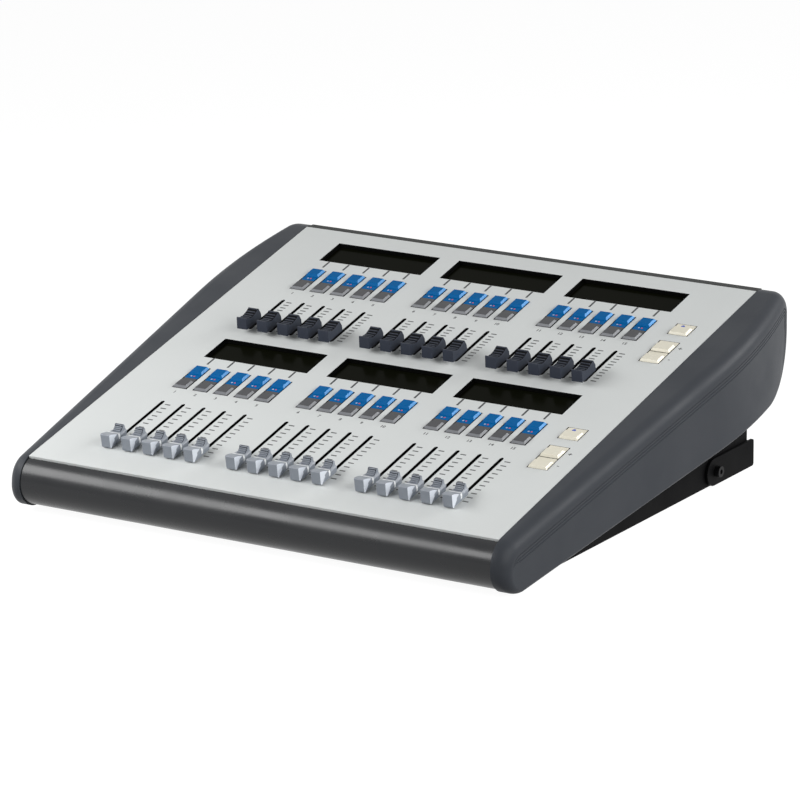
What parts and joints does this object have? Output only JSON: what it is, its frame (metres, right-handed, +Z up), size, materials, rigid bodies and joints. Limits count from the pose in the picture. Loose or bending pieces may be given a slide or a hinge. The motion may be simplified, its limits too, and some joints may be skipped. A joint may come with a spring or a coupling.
{
  "type": "lighting fader wing",
  "caption": "Sloping control panel with two sections of slide faders, keys and displays between moulded cheeks, on a chassis with a folding stand.",
  "frame": {"origin": "on the table, under the middle of the whole wing's box, with the stand folded", "axes": "+X to the right of the person who plays it, +Y away from them, +Z up"},
  "size_m": [0.4822, 0.4227, 0.1415],
  "materials": {
    "panel_paint": "satin light grey powder coat",
    "cheek_plastic": "moulded, fine texture",
    "rail_paint": "satin dark grey paint",
    "chassis_paint": "fine textured black powder coat",
    "screw_black": "black oxide",
    "knob_grey": "moulded, satin",
    "knob_dark": "moulded, satin",
    "key_grey": "translucent, satin gloss",
    "key_blue": "translucent, satin gloss",
    "key_cream": "satin gloss",
    "display_window": "smoked window",
    "board_green": "lacquered board",
    "supply_black": "moulded, satin",
    "switch_black": "moulded, satin gloss",
    "socket_black": "moulded, satin",
    "foot_rubber": "matte"
  },
  "bodies": {
    "housing": {"top_panel": "panel_paint", "left_cheek": "cheek_plastic", "right_cheek": "cheek_plastic", "front_rail": "rail_paint", "chassis_tray": "chassis_paint", "rear_panel": "chassis_paint", "pivot_screw_left": "screw_black", "pivot_screw_right": "screw_black", "lower_display_modules": "display_window", "upper_display_modules": "display_window", "lower_control_board": "board_green", "upper_control_board": "board_green", "power_supply": "supply_black", "data_socket": "socket_black", "front_left_foot": "foot_rubber", "front_right_foot": "foot_rubber", "rear_left_foot": "foot_rubber", "rear_right_foot": "foot_rubber"},
    "stand": {"tilt_stand": "chassis_paint"},
    "switch": {"power_switch": "switch_black"},
    "lower_fader_01": {"lower_fader_01": "knob_grey"},
    "lower_fader_02": {"lower_fader_02": "knob_grey"},
    "lower_fader_03": {"lower_fader_03": "knob_grey"},
    "lower_fader_04": {"lower_fader_04": "knob_grey"},
    "lower_fader_05": {"lower_fader_05": "knob_grey"},
    "lower_fader_06": {"lower_fader_06": "knob_grey"},
    "lower_fader_07": {"lower_fader_07": "knob_grey"},
    "lower_fader_08": {"lower_fader_08": "knob_grey"},
    "lower_fader_09": {"lower_fader_09": "knob_grey"},
    "lower_fader_10": {"lower_fader_10": "knob_grey"},
    "lower_fader_11": {"lower_fader_11": "knob_grey"},
    "lower_fader_12": {"lower_fader_12": "knob_grey"},
    "lower_fader_13": {"lower_fader_13": "knob_grey"},
    "lower_fader_14": {"lower_fader_14": "knob_grey"},
    "lower_fader_15": {"lower_fader_15": "knob_grey"},
    "upper_fader_01": {"upper_fader_01": "knob_dark"},
    "upper_fader_02": {"upper_fader_02": "knob_dark"},
    "upper_fader_03": {"upper_fader_03": "knob_dark"},
    "upper_fader_04": {"upper_fader_04": "knob_dark"},
    "upper_fader_05": {"upper_fader_05": "knob_dark"},
    "upper_fader_06": {"upper_fader_06": "knob_dark"},
    "upper_fader_07": {"upper_fader_07": "knob_dark"},
    "upper_fader_08": {"upper_fader_08": "knob_dark"},
    "upper_fader_09": {"upper_fader_09": "knob_dark"},
    "upper_fader_10": {"upper_fader_10": "knob_dark"},
    "upper_fader_11": {"upper_fader_11": "knob_dark"},
    "upper_fader_12": {"upper_fader_12": "knob_dark"},
    "upper_fader_13": {"upper_fader_13": "knob_dark"},
    "upper_fader_14": {"upper_fader_14": "knob_dark"},
    "upper_fader_15": {"upper_fader_15": "knob_dark"},
    "lower_grey_keys": {"lower_grey_keys": "key_grey"},
    "lower_blue_keys": {"lower_blue_keys": "key_blue"},
    "lower_select_key": {"lower_select_key": "key_cream"},
    "lower_plus_key": {"lower_plus_key": "key_cream"},
    "lower_minus_key": {"lower_minus_key": "key_cream"},
    "upper_grey_keys": {"upper_grey_keys": "key_grey"},
    "upper_blue_keys": {"upper_blue_keys": "key_blue"},
    "upper_select_key": {"upper_select_key": "key_cream"},
    "upper_plus_key": {"upper_plus_key": "key_cream"},
    "upper_minus_key": {"upper_minus_key": "key_cream"}
  },
  "joints": [
    {"name": "stand_swing", "type": "hinge", "parent": "housing", "child": "stand", "pos_m": [0, 0.12346, 0.0133], "axis": [-1, 0, 0], "range_deg": [0, 100]},
    {"name": "switch_rock", "type": "hinge", "parent": "housing", "child": "switch", "pos_m": [-0.11, 0.17826, 0.054], "axis": [0, 0, 1], "range_deg": [-22, 0]},
    {"name": "lower_fader_01_slide", "type": "slide", "parent": "housing", "child": "lower_fader_01", "axis": [0, 0.9711, 0.2389], "range_m": [0, 0.064]},
    {"name": "lower_fader_02_slide", "type": "slide", "parent": "housing", "child": "lower_fader_02", "axis": [0, 0.9711, 0.2389], "range_m": [0, 0.064]},
    {"name": "lower_fader_03_slide", "type": "slide", "parent": "housing", "child": "lower_fader_03", "axis": [0, 0.9711, 0.2389], "range_m": [0, 0.064]},
    {"name": "lower_fader_04_slide", "type": "slide", "parent": "housing", "child": "lower_fader_04", "axis": [0, 0.9711, 0.2389], "range_m": [0, 0.064]},
    {"name": "lower_fader_05_slide", "type": "slide", "parent": "housing", "child": "lower_fader_05", "axis": [0, 0.9711, 0.2389], "range_m": [0, 0.064]},
    {"name": "lower_fader_06_slide", "type": "slide", "parent": "housing", "child": "lower_fader_06", "axis": [0, 0.9711, 0.2389], "range_m": [0, 0.064]},
    {"name": "lower_fader_07_slide", "type": "slide", "parent": "housing", "child": "lower_fader_07", "axis": [0, 0.9711, 0.2389], "range_m": [0, 0.064]},
    {"name": "lower_fader_08_slide", "type": "slide", "parent": "housing", "child": "lower_fader_08", "axis": [0, 0.9711, 0.2389], "range_m": [0, 0.064]},
    {"name": "lower_fader_09_slide", "type": "slide", "parent": "housing", "child": "lower_fader_09", "axis": [0, 0.9711, 0.2389], "range_m": [0, 0.064]},
    {"name": "lower_fader_10_slide", "type": "slide", "parent": "housing", "child": "lower_fader_10", "axis": [0, 0.9711, 0.2389], "range_m": [0, 0.064]},
    {"name": "lower_fader_11_slide", "type": "slide", "parent": "housing", "child": "lower_fader_11", "axis": [0, 0.9711, 0.2389], "range_m": [0, 0.064]},
    {"name": "lower_fader_12_slide", "type": "slide", "parent": "housing", "child": "lower_fader_12", "axis": [0, 0.9711, 0.2389], "range_m": [0, 0.064]},
    {"name": "lower_fader_13_slide", "type": "slide", "parent": "housing", "child": "lower_fader_13", "axis": [0, 0.9711, 0.2389], "range_m": [0, 0.064]},
    {"name": "lower_fader_14_slide", "type": "slide", "parent": "housing", "child": "lower_fader_14", "axis": [0, 0.9711, 0.2389], "range_m": [0, 0.064]},
    {"name": "lower_fader_15_slide", "type": "slide", "parent": "housing", "child": "lower_fader_15", "axis": [0, 0.9711, 0.2389], "range_m": [0, 0.064]},
    {"name": "upper_fader_01_slide", "type": "slide", "parent": "housing", "child": "upper_fader_01", "axis": [0, 0.9711, 0.2389], "range_m": [0, 0.045]},
    {"name": "upper_fader_02_slide", "type": "slide", "parent": "housing", "child": "upper_fader_02", "axis": [0, 0.9711, 0.2389], "range_m": [0, 0.045]},
    {"name": "upper_fader_03_slide", "type": "slide", "parent": "housing", "child": "upper_fader_03", "axis": [0, 0.9711, 0.2389], "range_m": [0, 0.045]},
    {"name": "upper_fader_04_slide", "type": "slide", "parent": "housing", "child": "upper_fader_04", "axis": [0, 0.9711, 0.2389], "range_m": [0, 0.045]},
    {"name": "upper_fader_05_slide", "type": "slide", "parent": "housing", "child": "upper_fader_05", "axis": [0, 0.9711, 0.2389], "range_m": [0, 0.045]},
    {"name": "upper_fader_06_slide", "type": "slide", "parent": "housing", "child": "upper_fader_06", "axis": [0, 0.9711, 0.2389], "range_m": [0, 0.045]},
    {"name": "upper_fader_07_slide", "type": "slide", "parent": "housing", "child": "upper_fader_07", "axis": [0, 0.9711, 0.2389], "range_m": [0, 0.045]},
    {"name": "upper_fader_08_slide", "type": "slide", "parent": "housing", "child": "upper_fader_08", "axis": [0, 0.9711, 0.2389], "range_m": [0, 0.045]},
    {"name": "upper_fader_09_slide", "type": "slide", "parent": "housing", "child": "upper_fader_09", "axis": [0, 0.9711, 0.2389], "range_m": [0, 0.045]},
    {"name": "upper_fader_10_slide", "type": "slide", "parent": "housing", "child": "upper_fader_10", "axis": [0, 0.9711, 0.2389], "range_m": [0, 0.045]},
    {"name": "upper_fader_11_slide", "type": "slide", "parent": "housing", "child": "upper_fader_11", "axis": [0, 0.9711, 0.2389], "range_m": [0, 0.045]},
    {"name": "upper_fader_12_slide", "type": "slide", "parent": "housing", "child": "upper_fader_12", "axis": [0, 0.9711, 0.2389], "range_m": [0, 0.045]},
    {"name": "upper_fader_13_slide", "type": "slide", "parent": "housing", "child": "upper_fader_13", "axis": [0, 0.9711, 0.2389], "range_m": [0, 0.045]},
    {"name": "upper_fader_14_slide", "type": "slide", "parent": "housing", "child": "upper_fader_14", "axis": [0, 0.9711, 0.2389], "range_m": [0, 0.045]},
    {"name": "upper_fader_15_slide", "type": "slide", "parent": "housing", "child": "upper_fader_15", "axis": [0, 0.9711, 0.2389], "range_m": [0, 0.045]},
    {"name": "lower_grey_keys_press", "type": "slide", "parent": "housing", "child": "lower_grey_keys", "axis": [0, 0.2389, -0.9711], "range_m": [0, 0.002], "stiffness_N_per_m": 1500, "springref_m": -0.001},
    {"name": "lower_blue_keys_press", "type": "slide", "parent": "housing", "child": "lower_blue_keys", "axis": [0, 0.2389, -0.9711], "range_m": [0, 0.002], "stiffness_N_per_m": 1500, "springref_m": -0.001},
    {"name": "lower_select_key_press", "type": "slide", "parent": "housing", "child": "lower_select_key", "axis": [0, 0.2389, -0.9711], "range_m": [0, 0.002], "stiffness_N_per_m": 250, "springref_m": -0.001},
    {"name": "lower_plus_key_press", "type": "slide", "parent": "housing", "child": "lower_plus_key", "axis": [0, 0.2389, -0.9711], "range_m": [0, 0.002], "stiffness_N_per_m": 250, "springref_m": -0.001},
    {"name": "lower_minus_key_press", "type": "slide", "parent": "housing", "child": "lower_minus_key", "axis": [0, 0.2389, -0.9711], "range_m": [0, 0.002], "stiffness_N_per_m": 250, "springref_m": -0.001},
    {"name": "upper_grey_keys_press", "type": "slide", "parent": "housing", "child": "upper_grey_keys", "axis": [0, 0.2389, -0.9711], "range_m": [0, 0.002], "stiffness_N_per_m": 1500, "springref_m": -0.001},
    {"name": "upper_blue_keys_press", "type": "slide", "parent": "housing", "child": "upper_blue_keys", "axis": [0, 0.2389, -0.9711], "range_m": [0, 0.002], "stiffness_N_per_m": 1500, "springref_m": -0.001},
    {"name": "upper_select_key_press", "type": "slide", "parent": "housing", "child": "upper_select_key", "axis": [0, 0.2389, -0.9711], "range_m": [0, 0.002], "stiffness_N_per_m": 250, "springref_m": -0.001},
    {"name": "upper_plus_key_press", "type": "slide", "parent": "housing", "child": "upper_plus_key", "axis": [0, 0.2389, -0.9711], "range_m": [0, 0.002], "stiffness_N_per_m": 250, "springref_m": -0.001},
    {"name": "upper_minus_key_press", "type": "slide", "parent": "housing", "child": "upper_minus_key", "axis": [0, 0.2389, -0.9711], "range_m": [0, 0.002], "stiffness_N_per_m": 250, "springref_m": -0.001}
  ]
}
